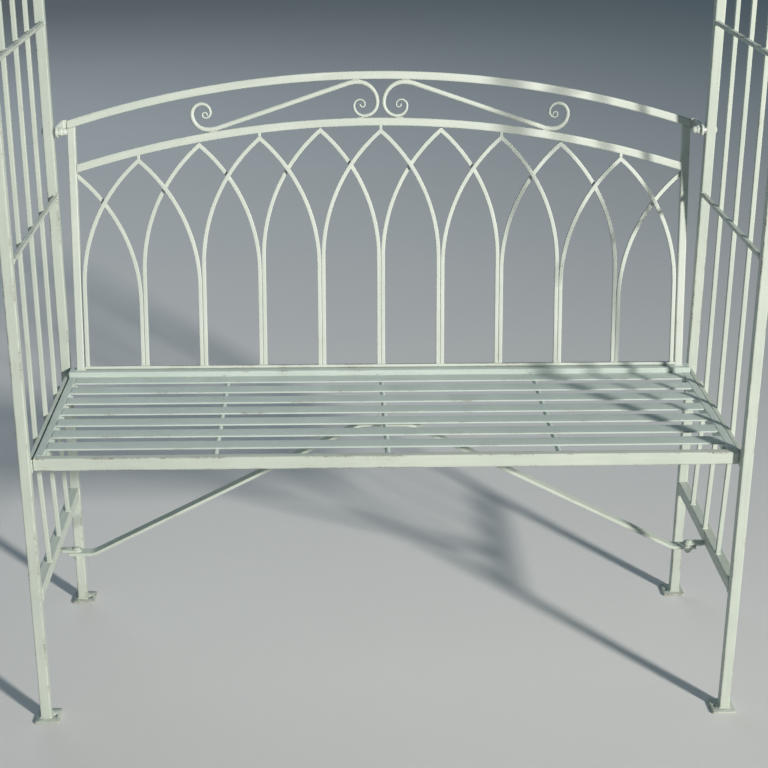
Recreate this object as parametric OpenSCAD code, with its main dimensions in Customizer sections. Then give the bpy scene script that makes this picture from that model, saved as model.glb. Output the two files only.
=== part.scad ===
// Garden arch with a built-in bench: two welded trellis sides, a round top section
// that plugs into them, and a slatted seat, a lancet backrest and a brace between them.
// Millimetres. X runs across the arch, Y from front to back, Z up.
// The origin is on the ground, in the middle of the four feet.

/* [Frame] */
// Clear width between the two trellis sides
inner_w = 1058; // [1050:2:1064]
// Depth of a trellis side, outside its posts
depth = 400; // [396:1:410]
// Outside size of the square tube of posts and arches
post = 16; // [16:0.5:18]
// Wall thickness of every tube
wall = 1.2; // [1:0.1:1.2]
// Height of the plug joint between posts and top section
joint_h = 1590; // [1590:5:1620]
// Straight stretch of the top section above the joint
arch_leg = 60; // [55:5:80]

/* [Trellis] */
// Top of the bottom rail above the ground
rail_top = 223; // [221:1:225]
// Height of the bottom rail
rail_h = 20; // [18:1:20]
// Side of the square trellis rods
rod = 7; // [6:0.5:7]
// Distance between neighbouring rods
rod_pitch = 92; // [88:1:96]
// Underside of the lowest trellis cross bar
bar_first = 741; // [735:1:745]
// Distance from one cross bar to the next
bar_pitch = 279; // [277:0.5:280]
// Height of a cross bar
bar_h = 6; // [5:0.5:7]
// Thickness of the cross bars and the seat bars, measured across the arch
bar_t = 7; // [7:0.5:8]

/* [Seat] */
// Height of the sitting surface
seat_h = 440; // [438:1:442]
// Width of a slat, front to back
slat_w = 28; // [26:1:29]
// Distance from one slat to the next
slat_pitch = 46.1; // [45.7:0.1:46.2]
// Thickness of a slat
slat_t = 3; // [3:0.5:4]
// How far the rear rail stands above the slats
rear_rise = 8.5; // [8:0.5:10]

/* [Backrest] */
// Lean of the backrest from upright, in degrees
lean = 9.8; // [9:0.1:11]
// Half of the outside width of the backrest
back_half = 515; // [513:1:516]
// Side of the square tube of the backrest frame
back_tube = 13; // [13:0.5:14]
// Radius of the two curved backrest rails, along their tops
back_r = 1718; // [1700:2:1760]
// Crown of the top rail, measured up the backrest
top_crown = 495; // [493:1:497]
// Crown of the lower rail, measured up the backrest
low_crown = 419.5; // [419:0.5:420]
// Side of the square bar of the lancets
lancet_bar = 6.5; // [6:0.5:6.5]
// Distance between neighbouring pairs of lancet legs, half the span of a lancet
lancet_pitch = 100; // [99:0.5:100]
// Gap between the two legs of a pair
pair_gap = 0.5; // [0.3:0.1:1]
// Outer radius of a lancet's curved part
lancet_r = 281; // [276:1:284]

/* [Fasteners] */
// Thread diameter of the seat, brace and backrest bolts
bolt_d = 8; // [7.5:0.5:8]
// Width across the flats of their nuts
nut_af = 13; // [12.5:0.5:13]
// Diameter of the peg holes in the foot plates
peg_d = 8; // [7:0.5:8.5]

/* [Hidden] */

PAINT = [0.76, 0.81, 0.75];
SEAT_PAINT = [0.62, 0.70, 0.67];
ZINC = [0.72, 0.73, 0.74];

fine = 64;          // facets of small round shapes
smooth = 720;       // facets of the large arcs
play = 0.2;         // radial clearance of a bolt in its hole, at the least
cut = 1;            // how far a cutter runs past the face it opens

half = inner_w / 2;             // inner face of a trellis side
out = half + post;              // outer face of a trellis side
front_in = -depth / 2 + post;   // rear face of the front posts
rear_in = depth / 2 - post;     // front face of the rear posts
post_mid = depth / 2 - post / 2;

// Feet
plate_t = 3;
plate_d = 40;
plate_in = 14;      // overhang of a foot plate towards the middle
plate_out = 8;      // overhang of a foot plate outwards
peg_x = half - plate_in / 2;

// Trellis side
bars = 4;
seat_bar_h = 20;
seat_bar_top = seat_h - 2;
rod_foot = 1;       // rods stand this far outside the inner face on the bottom rail
rod_bend = seat_bar_top - seat_bar_h - 3;
panel_top = bar_first + (bars - 1) * bar_pitch + bar_h;

// Top section
spring_h = joint_h + arch_leg;
arch_start = joint_h + 6;       // underside of the lowest cross bar of the top section
arch_bays = 3;                  // equal spaces from there to the crown
arch_path = spring_h - arch_start + half * PI / 2;
spigot = post - 2 * wall - 0.4;
spigot_l = 100;
screw_d = 6;
screw_off = 25;                 // arch screws sit this far above and below the joint

// Seat
rail_d = 13;                    // depth of the front rail
side_gap = 2;                   // between the seat and a trellis side
seat_half = half - side_gap;
front_y = front_in;             // front face of the front rail
rear_d = 25;
rear_h = 20;
rear_y = 157;                   // front face of the rear rail
rear_top = seat_h + rear_rise;
side_in = seat_half - rail_d;   // inner face of the side rails
slat_under = seat_h - slat_t;
slats = 7;
bearer_d = 8;
bearer_x = 259;
seat_bolt_y = [-150, 130];
seat_bolt_z = seat_bar_top - 11;

// Brace under the seat
brace_t = 5;
brace_y = [-33, -14];
brace_z = 200;                  // underside of its flat ends
brace_end = 514;
brace_low = 474;                // lower bend
brace_high = 38;                // upper bend
brace_crown = slat_under - bearer_d - brace_t;
brace_slope = atan2(brace_crown - brace_z, brace_low - brace_high);
brace_mitre = brace_t * tan(brace_slope / 2);
tab_t = 4;
tab_w = 16;
tab_x = 502;                    // bolt centre
tab_y = -23;
tab_z = brace_z + brace_t;
lug = [[-18, -29], [-3.75, -15]];   // tab on the centre bearer, over the brace's crown
lug_t = 2.5;
lug_bolt = [-10, -22];
lug_bolt_d = 5;
lug_nut_af = 8;
lug_nut_t = 4;

// Backrest, drawn in its own plane: x across, s up the slope, y from its front face
back_y = 168.4;
back_in = back_half - back_tube;
top_c = top_crown - back_r;     // height of the centre of the top rail's arc
low_c = low_crown - back_r;
under_r = back_r - back_tube;   // radius of the rails' undersides
sill_h = 6;
sill_d = 11;
stub_h = 4;                     // front lancets hang this far below the lower rail
stub_w = 5;
leg_x = lancet_pitch - pair_gap / 2;
mitre = 0.05;                   // half of the joint between two legs at an apex
half_lancet_x = 5 * lancet_pitch;

// Scrolls of the backrest: a straight stretch between two curls. A curl is a chain of arcs,
// each with its radius and sweep, that starts with a shoulder at the straight stretch.
scroll_d = 8;
scroll_y = 2.5;
scroll_w = [8, 2.8];            // width along the straight stretch and at the tips
scroll_taper = 400;             // degrees of turn over which the width falls
arc_steps = 7;
shoulder_r = 55;
inner_top = [38.3, 477.4];      // highest point of the inner curl
outer_low = [285, 400.6];       // lowest point of the outer curl
inner_radii = [33, 22, 16.5, 10, 8, 4, 4];
outer_radii = [25.5, 16.3, 14.3, 8.6, 4.8, 4.1, 3.8];
tip_arc = [3.1, 20];

// Backrest brackets
bracket_x = [521, 525];
bracket_y = [181, 244];
bracket_z = [841, 859];
bracket_bolt = [192, 850];      // y and z of the bolt
acorn_l = 15;

head_t = 5;
low_head = [12, 3];             // diameter and height of the low domed heads
nut_t = 6.5;

// Helpers ------------------------------------------------------------------

module block(lo, hi) {
    translate(lo) cube(hi - lo);
}

// Copies its children to the left (-1) or keeps them on the right (1)
module on_side(side) {
    mirror([side < 0 ? 1 : 0, 0, 0]) children();
}

module both_sides() {
    for (side = [-1, 1]) on_side(side) children();
}

// Square tube between two corners, open at both ends along axis 0, 1 or 2
module tube(lo, hi, axis) {
    inset = [for (i = [0:2]) i == axis ? -cut : wall];
    difference() {
        block(lo, hi);
        block(lo + inset, hi - inset);
    }
}

// Cylinder along +X, from x0 to x1
module x_rod(x0, x1, y, z, d) {
    translate([x0, y, z]) rotate([0, 90, 0]) cylinder(h = x1 - x0, d = d, $fn = fine);
}

// Hexagon across the flats af
module hexagon(af) {
    rotate(30) circle(d = af / cos(30), $fn = 6);
}

// Cylinder along +Y, from y0 to y1
module y_rod(y0, y1, x, z, d) {
    translate([x, y1, z]) rotate([90, 0, 0]) cylinder(h = y1 - y0, d = d, $fn = fine);
}

// Hexagonal bar along +X with its flats level
module x_hex(x0, x1, y, z, af) {
    translate([x0, y, z]) rotate([0, 90, 0]) linear_extrude(x1 - x0) hexagon(af);
}

// Domed head on the plane z = 0, pointing up
module dome(d, h) {
    ball_r = (d * d / 4 + h * h) / (2 * h);
    rotate_extrude($fn = fine) intersection() {
        translate([0, h - ball_r]) circle(r = ball_r, $fn = fine * 2);
        square([d / 2, h]);
    }
}

// Extrudes an x-z outline from y0 to y1
module slab(y0, y1) {
    translate([0, y1, 0]) rotate([90, 0, 0]) linear_extrude(y1 - y0) children();
}

// Puts a shape from the backrest's own plane in its place
module backrest() {
    translate([0, back_y, rear_top]) rotate([-lean, 0, 0]) children();
}

// Removes what would reach into the rear rail
module stand_on_rail() {
    difference() {
        backrest() children();
        block([-back_half - cut, back_y - back_tube, rear_top - rear_h],
              [back_half + cut, back_y + 2 * back_tube, rear_top]);
    }
}

// Trellis sides ------------------------------------------------------------

module post_tube(side, y) {
    rear = y > 0;
    color(PAINT) on_side(side) difference() {
        tube([half, y - post / 2, plate_t], [out, y + post / 2, joint_h], 2);
        x_rod(half + post / 2, out + cut, y, joint_h - screw_off, screw_d + 2 * play);
        if (rear) {
            x_rod(half - cut, out + cut, bracket_bolt[0], bracket_bolt[1], bolt_d + 2 * play);
        }
    }
}

module bottom_rail(side) {
    color(PAINT) on_side(side)
        tube([half, front_in, rail_top - rail_h], [out, rear_in, rail_top], 1);
}

module seat_bar(side) {
    color(PAINT) on_side(side) difference() {
        block([half, front_in, seat_bar_top - seat_bar_h], [half + bar_t, rear_in, seat_bar_top]);
        for (y = seat_bolt_y) {
            x_rod(half - cut, half + bar_t + cut, y, seat_bolt_z, bolt_d + 2 * play);
        }
    }
}

// A rod stands on the bottom rail, leans outwards and runs up outside the bars
module trellis_rod(side, y) {
    x_low = half + rod_foot;
    x_high = half + bar_t;
    color(PAINT) on_side(side) slab(y - rod / 2, y + rod / 2) polygon([
        [x_low, rail_top], [x_low + rod, rail_top], [x_high + rod, rod_bend],
        [x_high + rod, panel_top], [x_high, panel_top], [x_high, rod_bend]
    ]);
}

module cross_bars(side) {
    color(PAINT) on_side(side) for (i = [0:bars - 1]) {
        z = bar_first + i * bar_pitch;
        block([half, front_in, z], [half + bar_t, rear_in, z + bar_h]);
    }
}

module foot_plates() {
    color(PAINT) both_sides() for (y = [-post_mid, post_mid]) difference() {
        block([half - plate_in, y - plate_d / 2, 0], [out + plate_out, y + plate_d / 2, plate_t]);
        translate([peg_x, y, -cut]) cylinder(h = plate_t + 2 * cut, d = peg_d, $fn = fine);
    }
}

module brace_tabs() {
    color(PAINT) both_sides() translate([0, 0, tab_z]) difference() {
        linear_extrude(tab_t) union() {
            translate([tab_x, tab_y]) circle(d = tab_w, $fn = fine);
            translate([tab_x, tab_y - tab_w / 2]) square([half - tab_x, tab_w]);
        }
        translate([tab_x, tab_y, -cut])
            cylinder(h = tab_t + 2 * cut, d = bolt_d + 2 * play, $fn = fine);
    }
    color(PAINT) translate([0, 0, brace_crown + brace_t]) difference() {
        translate(lug[0]) linear_extrude(lug_t) square(lug[1] - lug[0]);
        lug_hole(lug_t);
    }
}

// Cutter for the hole of the bolt beside the centre bearer
module lug_hole(height) {
    translate([lug_bolt[0], lug_bolt[1], -cut])
        cylinder(h = height + 2 * cut, d = lug_bolt_d + 2 * play, $fn = fine);
}

// Top section --------------------------------------------------------------

// Solid of a bent bar that runs up, round the top and down again
module hoop(r_in, r_out, y0, y1, z0) {
    both_sides() block([r_in, y0, z0], [r_out, y1, spring_h]);
    translate([0, y1, spring_h]) rotate([90, 0, 0])
        rotate_extrude(angle = 180, $fn = smooth / 2) translate([r_in, 0]) square([r_out - r_in, y1 - y0]);
}

module arch_tube(y) {
    color(PAINT) difference() {
        hoop(half, out, y - post / 2, y + post / 2, joint_h);
        hoop(half + wall, out - wall, y - post / 2 + wall, y + post / 2 - wall, joint_h - cut);
        both_sides()
            x_rod(half + post / 2, out + cut, y, joint_h + screw_off, screw_d + 2 * play);
    }
}

module arch_rod(y) {
    color(PAINT) hoop(half + bar_t, half + bar_t + rod, y - rod / 2, y + rod / 2, arch_start);
}

module arch_cross_bars() {
    color(PAINT) {
        both_sides() block([half, front_in, arch_start], [half + bar_t, rear_in, arch_start + bar_h]);
        both_sides() for (i = [1:arch_bays - 1]) {
            rise = (i * arch_path / arch_bays - (spring_h - arch_start)) / half;
            translate([0, 0, spring_h]) rotate([0, -rise * 180 / PI, 0])
                block([half, front_in, -bar_h / 2], [half + bar_t, rear_in, bar_h / 2]);
        }
        block([-bar_h / 2, front_in, spring_h + half], [bar_h / 2, rear_in, spring_h + half + bar_t]);
    }
}

module arch_spigots() {
    mid = half + post / 2;
    color(ZINC) both_sides() for (y = [-post_mid, post_mid]) difference() {
        block([mid - spigot / 2, y - spigot / 2, joint_h - spigot_l / 2],
              [mid + spigot / 2, y + spigot / 2, joint_h + spigot_l / 2]);
        for (z = [-screw_off, screw_off]) {
            x_rod(mid - spigot, mid + spigot, y, joint_h + z, screw_d + 2 * play);
        }
    }
}

module arch_screws() {
    head_d = 11;
    head_h = 3;
    color(ZINC) both_sides() for (y = [-post_mid, post_mid], z = [-screw_off, screw_off]) {
        x_rod(half + post / 4, out, y, joint_h + z, screw_d);
        translate([out, y, joint_h + z]) rotate([0, 90, 0]) dome(head_d, head_h);
    }
}

// Seat ---------------------------------------------------------------------

module seat_front_rail() {
    color(SEAT_PAINT)
        tube([-seat_half, front_y, seat_h - rail_h], [seat_half, front_y + rail_d, seat_h], 0);
}

module seat_rear_rail() {
    color(SEAT_PAINT)
        tube([-seat_half, rear_y, rear_top - rear_h], [seat_half, rear_y + rear_d, rear_top], 0);
}

// Side rail between the slat ends and the seat bar, which it is bolted to
module seat_side_rail(side) {
    color(SEAT_PAINT) on_side(side) difference() {
        tube([side_in, front_y + rail_d, seat_h - rail_h], [seat_half, rear_y, seat_h], 1);
        for (y = seat_bolt_y) {
            x_rod(side_in - cut, half, y, seat_bolt_z, bolt_d + 2 * play);
        }
    }
}

// The slats lie flush between the side rails
module seat_slat(i) {
    y1 = rear_y - (slats - i) * slat_pitch;
    color(SEAT_PAINT) block([-side_in, y1 - slat_w, slat_under], [side_in, y1, seat_h]);
}

// Round bar under the slats, from the front rail to the rear rail
module slat_bearer(x) {
    color(SEAT_PAINT) y_rod(front_y + rail_d, rear_y, x, slat_under - bearer_d / 2, bearer_d);
}

module seat_brace() {
    top = brace_crown + brace_t;
    right = [
        [brace_high, brace_crown], [brace_low, brace_z], [brace_end, brace_z],
        [brace_end, brace_z + brace_t], [brace_low + brace_mitre, brace_z + brace_t],
        [brace_high + brace_mitre, top]
    ];
    left = [for (i = [len(right) - 1:-1:0]) [-right[i][0], right[i][1]]];
    color(PAINT) difference() {
        slab(brace_y[0], brace_y[1]) polygon(concat(right, left));
        both_sides() translate([tab_x, tab_y, brace_z - cut])
            cylinder(h = brace_t + 2 * cut, d = bolt_d + 2 * play, $fn = fine);
        translate([0, 0, brace_crown]) lug_hole(brace_t);
    }
}

// Backrest -----------------------------------------------------------------

module disc(r, height) {
    translate([0, height]) circle(r = r, $fn = smooth);
}

module back_upright(side) {
    color(PAINT) on_side(side) stand_on_rail() slab(0, back_tube) intersection() {
        translate([back_in, -back_tube]) square([back_tube, top_crown]);
        disc(under_r, top_c);
    }
}

// Curved rail as far out as x on both sides
module curved_rail(centre, x) {
    color(PAINT) backrest() slab(0, back_tube) intersection() {
        difference() {
            disc(back_r, centre);
            disc(under_r, centre);
        }
        translate([-x, 0]) square([2 * x, back_r]);
    }
}

module back_bottom_rail() {
    color(PAINT) stand_on_rail() slab(0, sill_d)
        translate([-back_in, -sill_h]) square([2 * back_in, 2 * sill_h]);
}

// Underside of the lower rail at x
function rail_under(x) = low_c + sqrt(under_r * under_r - x * x);

// One leg of a lancet, which stands on the bottom rail and rises to its apex at [0, tip]
// and on to x = reach
module lancet_leg(tip, reach = -mitre) {
    spring = tip - sqrt(pow(lancet_r, 2) - pow(lancet_r - leg_x, 2));
    intersection() {
        union() {
            translate([-leg_x, sill_h]) square([lancet_bar, spring - sill_h]);
            translate([lancet_r - leg_x, spring]) intersection() {
                difference() {
                    circle(r = lancet_r, $fn = smooth);
                    circle(r = lancet_r - lancet_bar, $fn = smooth);
                }
                translate([-lancet_r, 0]) square([lancet_r, lancet_r]);
            }
        }
        translate([-leg_x, sill_h]) square([leg_x + reach, low_crown]);
    }
}

// Lancet of two mitred legs with its apex at x, its bars from y0 to y0 + lancet_bar
module lancet(x, drop, y0) {
    tip = rail_under(abs(x)) - drop;
    color(PAINT) backrest() slab(y0, y0 + lancet_bar) translate([x, 0]) {
        lancet_leg(tip);
        mirror([1, 0]) lancet_leg(tip);
    }
}

module front_lancets() {
    for (i = [-4:2:4]) lancet(i * lancet_pitch, stub_h, 0);
}

module rear_lancets() {
    gap = 0.3;      // keeps the tips clear of the curved underside beside them
    for (i = [-3:2:3]) lancet(i * lancet_pitch, gap, back_tube - lancet_bar);
}

// Single legs that end on the uprights
module half_lancets() {
    reach = back_in - half_lancet_x - 0.2;
    color(PAINT) both_sides() backrest() slab(back_tube - lancet_bar, back_tube)
        translate([half_lancet_x, 0])
            lancet_leg(rail_under(half_lancet_x) - stub_h, reach);
}

// Short posts between the front lancets and the lower rail
module lancet_stubs() {
    color(PAINT) backrest() slab(0, lancet_bar) for (i = [-4:2:4]) {
        x = abs(i) * lancet_pitch;
        foot = rail_under(x) - stub_h;
        top = rail_under(x + stub_w / 2) - 0.1;
        translate([i * lancet_pitch - stub_w / 2, foot]) square([stub_w, top - foot]);
    }
}

// Points of arcs that follow each other from p and turn left from the heading h, each point
// with the angle turned so far
function chain(p, h, arcs, i = 0, turned = 0) =
    i == len(arcs) ? [[p, turned]] :
    let (r = arcs[i][0], step = arcs[i][1] / arc_steps, a = h + turned, b = a + arcs[i][1],
         points = [for (k = [0:arc_steps - 1])
             [p + r * [sin(a + step * k) - sin(a), cos(a) - cos(a + step * k)], turned + step * k]])
    concat(points, chain(p + r * [sin(b) - sin(a), cos(a) - cos(b)], h, arcs, i + 1,
                         turned + arcs[i][1]));
function curl(p, h, slope, radii) =
    chain(p, h, concat([[shoulder_r, slope]], [for (r = radii) [r, 90]], [tip_arc]));

function reversed(v) = [for (i = [len(v) - 1:-1:0]) v[i]];
function normal(path, i) =
    let (d = path[min(i + 1, len(path) - 1)][0] - path[max(i - 1, 0)][0]) [-d[1], d[0]] / norm(d);
function scroll_edge(path, i) =
    let (w = max(scroll_w[1], scroll_w[0] - (scroll_w[0] - scroll_w[1]) * path[i][1] / scroll_taper))
    w / 2 * normal(path, i);

module scroll(side) {
    span = outer_low - inner_top + [0, 2 * shoulder_r];
    slope = asin(2 * shoulder_r / norm(span)) - atan2(span[1], span[0]);
    bend = shoulder_r * [sin(slope), cos(slope) - 1];
    path = concat(reversed(curl(inner_top + bend, 180 - slope, slope, inner_radii)),
                  curl(outer_low - bend, -slope, slope, outer_radii));
    last = len(path) - 1;
    color(PAINT) on_side(side) backrest() slab(scroll_y, scroll_y + scroll_d) polygon(concat(
        [for (i = [0:last]) path[i][0] + scroll_edge(path, i)],
        [for (i = [last:-1:0]) path[i][0] - scroll_edge(path, i)]
    ));
}

// Angled strap from an upright to the rear post
module back_bracket(side) {
    round_r = (bracket_z[1] - bracket_z[0]) / 2;
    strap = bracket_x[1] - bracket_x[0];
    color(PAINT) on_side(side) difference() {
        union() {
            x_rod(bracket_x[0], bracket_x[1], bracket_y[0] + round_r, bracket_bolt[1], 2 * round_r);
            block([bracket_x[0], bracket_y[0] + round_r, bracket_z[0]],
                  [bracket_x[1], bracket_y[1], bracket_z[1]]);
            block([back_half, bracket_y[1] - strap, bracket_z[0]],
                  [bracket_x[1], bracket_y[1], bracket_z[1]]);
        }
        x_rod(bracket_x[0] - cut, bracket_x[1] + cut, bracket_bolt[0], bracket_bolt[1],
              bolt_d + 2 * play);
    }
}

// Fasteners ----------------------------------------------------------------

module back_bolts() {
    color(PAINT) both_sides() {
        x_rod(bracket_x[0] - acorn_l + 4.5, out, bracket_bolt[0], bracket_bolt[1], bolt_d);
        translate([out, bracket_bolt[0], bracket_bolt[1]]) rotate([0, 90, 0])
            dome(low_head[0], low_head[1]);
    }
}

module back_acorn_nuts() {
    dome_h = acorn_l - nut_t;
    color(PAINT) both_sides() difference() {
        translate([bracket_x[0], bracket_bolt[0], bracket_bolt[1]]) rotate([0, -90, 0]) {
            linear_extrude(nut_t) hexagon(nut_af);
            translate([0, 0, nut_t]) dome(nut_af - 1, dome_h);
        }
        x_rod(bracket_x[0] - acorn_l + 3.5, bracket_x[0] + cut, bracket_bolt[0], bracket_bolt[1],
              bolt_d + play);
    }
}

module seat_bolts() {
    color(PAINT) both_sides() for (y = seat_bolt_y) {
        x_rod(side_in, half + bar_t + nut_t + 3, y, seat_bolt_z, bolt_d);
        x_hex(side_in - head_t, side_in, y, seat_bolt_z, nut_af);
    }
}

// Bolts of the brace: one through each tab and one beside the centre bearer
module brace_bolts() {
    lug_head_t = 3.5;
    color(PAINT) {
        both_sides() translate([tab_x, tab_y, 0]) {
            translate([0, 0, brace_z - nut_t - 3])
                cylinder(h = tab_t + brace_t + nut_t + 3, d = bolt_d, $fn = fine);
            translate([0, 0, tab_z + tab_t]) dome(low_head[0], low_head[1]);
        }
        translate([lug_bolt[0], lug_bolt[1], brace_crown]) {
            translate([0, 0, -lug_head_t]) linear_extrude(lug_head_t) hexagon(lug_nut_af);
            cylinder(h = brace_t + lug_t + lug_nut_t + 3, d = lug_bolt_d, $fn = fine);
        }
    }
}

// Nuts of the seat bolts and of the brace bolts
module hex_nuts() {
    color(PAINT) translate([lug_bolt[0], lug_bolt[1], brace_crown + brace_t + lug_t]) difference() {
        linear_extrude(lug_nut_t) hexagon(lug_nut_af);
        translate([0, 0, -cut]) cylinder(h = lug_nut_t + 2 * cut, d = lug_bolt_d + play, $fn = fine);
    }
    color(PAINT) both_sides() {
        for (y = seat_bolt_y) difference() {
            x_hex(half + bar_t, half + bar_t + nut_t, y, seat_bolt_z, nut_af);
            x_rod(half + bar_t - cut, half + bar_t + nut_t + cut, y, seat_bolt_z, bolt_d + play);
        }
        translate([tab_x, tab_y, brace_z - nut_t]) difference() {
            linear_extrude(nut_t) hexagon(nut_af);
            translate([0, 0, -cut]) cylinder(h = nut_t + 2 * cut, d = bolt_d + play, $fn = fine);
        }
    }
}

// Rings between the seat and the seat bars, and between the brackets and the rear posts
module bolt_spacers() {
    ring = 2 * bolt_d;
    color(ZINC) both_sides() {
        for (y = seat_bolt_y) difference() {
            x_rod(seat_half, half, y, seat_bolt_z, ring);
            x_rod(seat_half - cut, half + cut, y, seat_bolt_z, bolt_d + 2 * play);
        }
        difference() {
            x_rod(bracket_x[1], half, bracket_bolt[0], bracket_bolt[1], ring);
            x_rod(bracket_x[1] - cut, half + cut, bracket_bolt[0], bracket_bolt[1],
                  bolt_d + 2 * play);
        }
    }
}

// Nodes --------------------------------------------------------------------

post_tube(-1, -post_mid);  // left_front_post
post_tube(1, -post_mid);  // right_front_post
post_tube(-1, post_mid);  // left_rear_post
post_tube(1, post_mid);  // right_rear_post
bottom_rail(-1);  // left_bottom_rail
bottom_rail(1);  // right_bottom_rail
seat_bar(-1);  // left_seat_bar
seat_bar(1);  // right_seat_bar
trellis_rod(-1, -rod_pitch);  // left_front_rod
trellis_rod(-1, 0);  // left_middle_rod
trellis_rod(-1, rod_pitch);  // left_rear_rod
trellis_rod(1, -rod_pitch);  // right_front_rod
trellis_rod(1, 0);  // right_middle_rod
trellis_rod(1, rod_pitch);  // right_rear_rod
cross_bars(-1);  // left_cross_bars
cross_bars(1);  // right_cross_bars
foot_plates();
brace_tabs();
arch_tube(-post_mid);  // front_arch
arch_tube(post_mid);  // rear_arch
arch_rod(-rod_pitch);  // arch_front_rod
arch_rod(0);  // arch_middle_rod
arch_rod(rod_pitch);  // arch_rear_rod
arch_cross_bars();
arch_spigots();
arch_screws();
seat_front_rail();
seat_rear_rail();
seat_side_rail(-1);  // seat_left_rail
seat_side_rail(1);  // seat_right_rail
seat_slat(1);  // seat_slat_1
seat_slat(2);  // seat_slat_2
seat_slat(3);  // seat_slat_3
seat_slat(4);  // seat_slat_4
seat_slat(5);  // seat_slat_5
seat_slat(6);  // seat_slat_6
seat_slat(7);  // seat_slat_7
slat_bearer(-bearer_x);  // slat_bearer_left
slat_bearer(0);  // slat_bearer_centre
slat_bearer(bearer_x);  // slat_bearer_right
seat_brace();
back_upright(-1);  // back_left_upright
back_upright(1);  // back_right_upright
curved_rail(top_c, back_half);  // back_top_rail
curved_rail(low_c, back_in);  // back_lower_rail
back_bottom_rail();
front_lancets();
rear_lancets();
half_lancets();
lancet_stubs();
scroll(-1);  // left_scroll
scroll(1);  // right_scroll
back_bracket(-1);  // left_back_bracket
back_bracket(1);  // right_back_bracket
back_bolts();
back_acorn_nuts();
seat_bolts();
brace_bolts();
hex_nuts();
bolt_spacers();
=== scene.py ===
"""Looks of the garden arch with bench: painted steel bars, welds and zinc-plated bolts.

Every bar is a mesh with round edges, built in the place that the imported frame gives.
"""
import math

import bpy
from mathutils import Matrix, Vector, noise


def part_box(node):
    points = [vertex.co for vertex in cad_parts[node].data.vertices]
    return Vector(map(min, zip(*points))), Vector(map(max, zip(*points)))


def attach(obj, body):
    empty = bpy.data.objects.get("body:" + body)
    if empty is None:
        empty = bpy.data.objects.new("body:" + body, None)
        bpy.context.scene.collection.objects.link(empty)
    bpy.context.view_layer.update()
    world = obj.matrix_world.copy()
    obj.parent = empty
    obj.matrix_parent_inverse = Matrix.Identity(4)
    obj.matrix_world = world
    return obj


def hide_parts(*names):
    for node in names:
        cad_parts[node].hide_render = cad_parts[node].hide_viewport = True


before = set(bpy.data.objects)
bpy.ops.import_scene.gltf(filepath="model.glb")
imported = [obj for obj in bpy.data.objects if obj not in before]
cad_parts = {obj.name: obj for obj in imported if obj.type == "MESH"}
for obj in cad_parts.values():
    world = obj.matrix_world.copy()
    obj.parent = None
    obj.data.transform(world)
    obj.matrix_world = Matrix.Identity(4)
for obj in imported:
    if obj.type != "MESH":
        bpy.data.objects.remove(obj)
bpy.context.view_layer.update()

UNIT = (Vector((1, 0, 0)), Vector((0, 1, 0)), Vector((0, 0, 1)))
X, Y, Z = UNIT
SIDES = (("left", -1), ("right", 1))

# Sizes that the boxes of the frame don't give, in metres
WALL = 0.0012              # tube wall
TUBE_CORNER = 0.0016       # outside rounding of tubes
BAR_CORNER = 0.0007        # rounding of solid bars
STEP = 0.05                # spacing of the rings along straight bars
END_FADE = 0.0015          # stretch over which the shading of a bar's end fades
CHAMFER = 0.0004           # chamfer of cut ends and plates
SHARP = 50                 # degrees between faces from which an edge is drawn sharp
BEAD = 0.0013              # radius of a common weld bead
POST_BEAD = 0.0019         # at the feet of the posts
ROD_BEAD = 0.0018          # at the feet of the rods
UPRIGHT_BEAD = 0.0016      # at the feet of the backrest
THIN_BEAD = 0.0012
FINE_BEAD = 0.001
LIFT = 0.0003              # height of a bead's middle above its face
BARS = 4                   # cross bars on a trellis side
BAR_H = 0.006              # height of a cross bar
BAR_T = 0.007              # thickness of the arch's cross bars
BAYS = 3                   # bays between the arch's cross bars on each side
ROD_BEND = 0.003           # the rods straighten this far under the seat bar
ROD_BEND_R = 0.12
FOOT_IN = 0.014            # reach of the foot plates inwards of the posts
FOOT_HOLE = (0.007, 0.004)      # distance of the hole from the post, and its radius
BRACE_T = 0.005            # thickness of the brace
BRACE_BENDS = (0.038, 0.474)    # distance of its high and low bends from the middle
SLAT_CORNER = 0.0009
SLAT_CROWN = 0.00025
LEAN = math.radians(9.8)   # backrest from upright
BACK_R = 1.718             # radius of the curved rails, along their tops
TOP_CROWN = 0.495          # crown of the top rail, up the backrest
LOW_CROWN = 0.4195         # crown of the lower rail, up the backrest
BACK_TUBE = 0.013
LANCET_BAR = 0.0065
LANCET_PITCH = 0.1
LANCET_R = 0.281           # radius of the lancets' outer edges
PAIR_GAP = 0.0005          # gap between the legs of neighbours
STUB = 0.004               # gap between a front lancet and the lower rail
STUB_W = 0.005
TIP_BLOB = (0.0035, 0.0036)     # weld at a lancet's tip: its depth under the tip, and its radius
SILL = (0.006, 0.0, 0.011)      # height, front and depth of the backrest's bottom rail
SILL_LIFT = 0.0015         # gap under it
STRAP_T = 0.004            # thickness of the straps to the rear posts
STRAP_BEND = 0.004
SCROLL = (0.0025, 0.008, 0.008, 0.0028)     # front, depth, width and width of the tips
SCROLL_CORNER = 0.003
TAPER = 400                # degrees of turn over which a scroll thins out
TOP_TOUCHES = (0.041,)      # where the scrolls touch the top rail, across from the middle
LOW_TOUCHES = (0.0325, 0.275)
SHOULDER = 0.055           # radius of a curl where it leaves the straight stretch
INNER_TOP = Vector((0.0383, 0.4774))        # highest point of the inner curl
OUTER_LOW = Vector((0.285, 0.4006))         # lowest point of the outer curl
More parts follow.
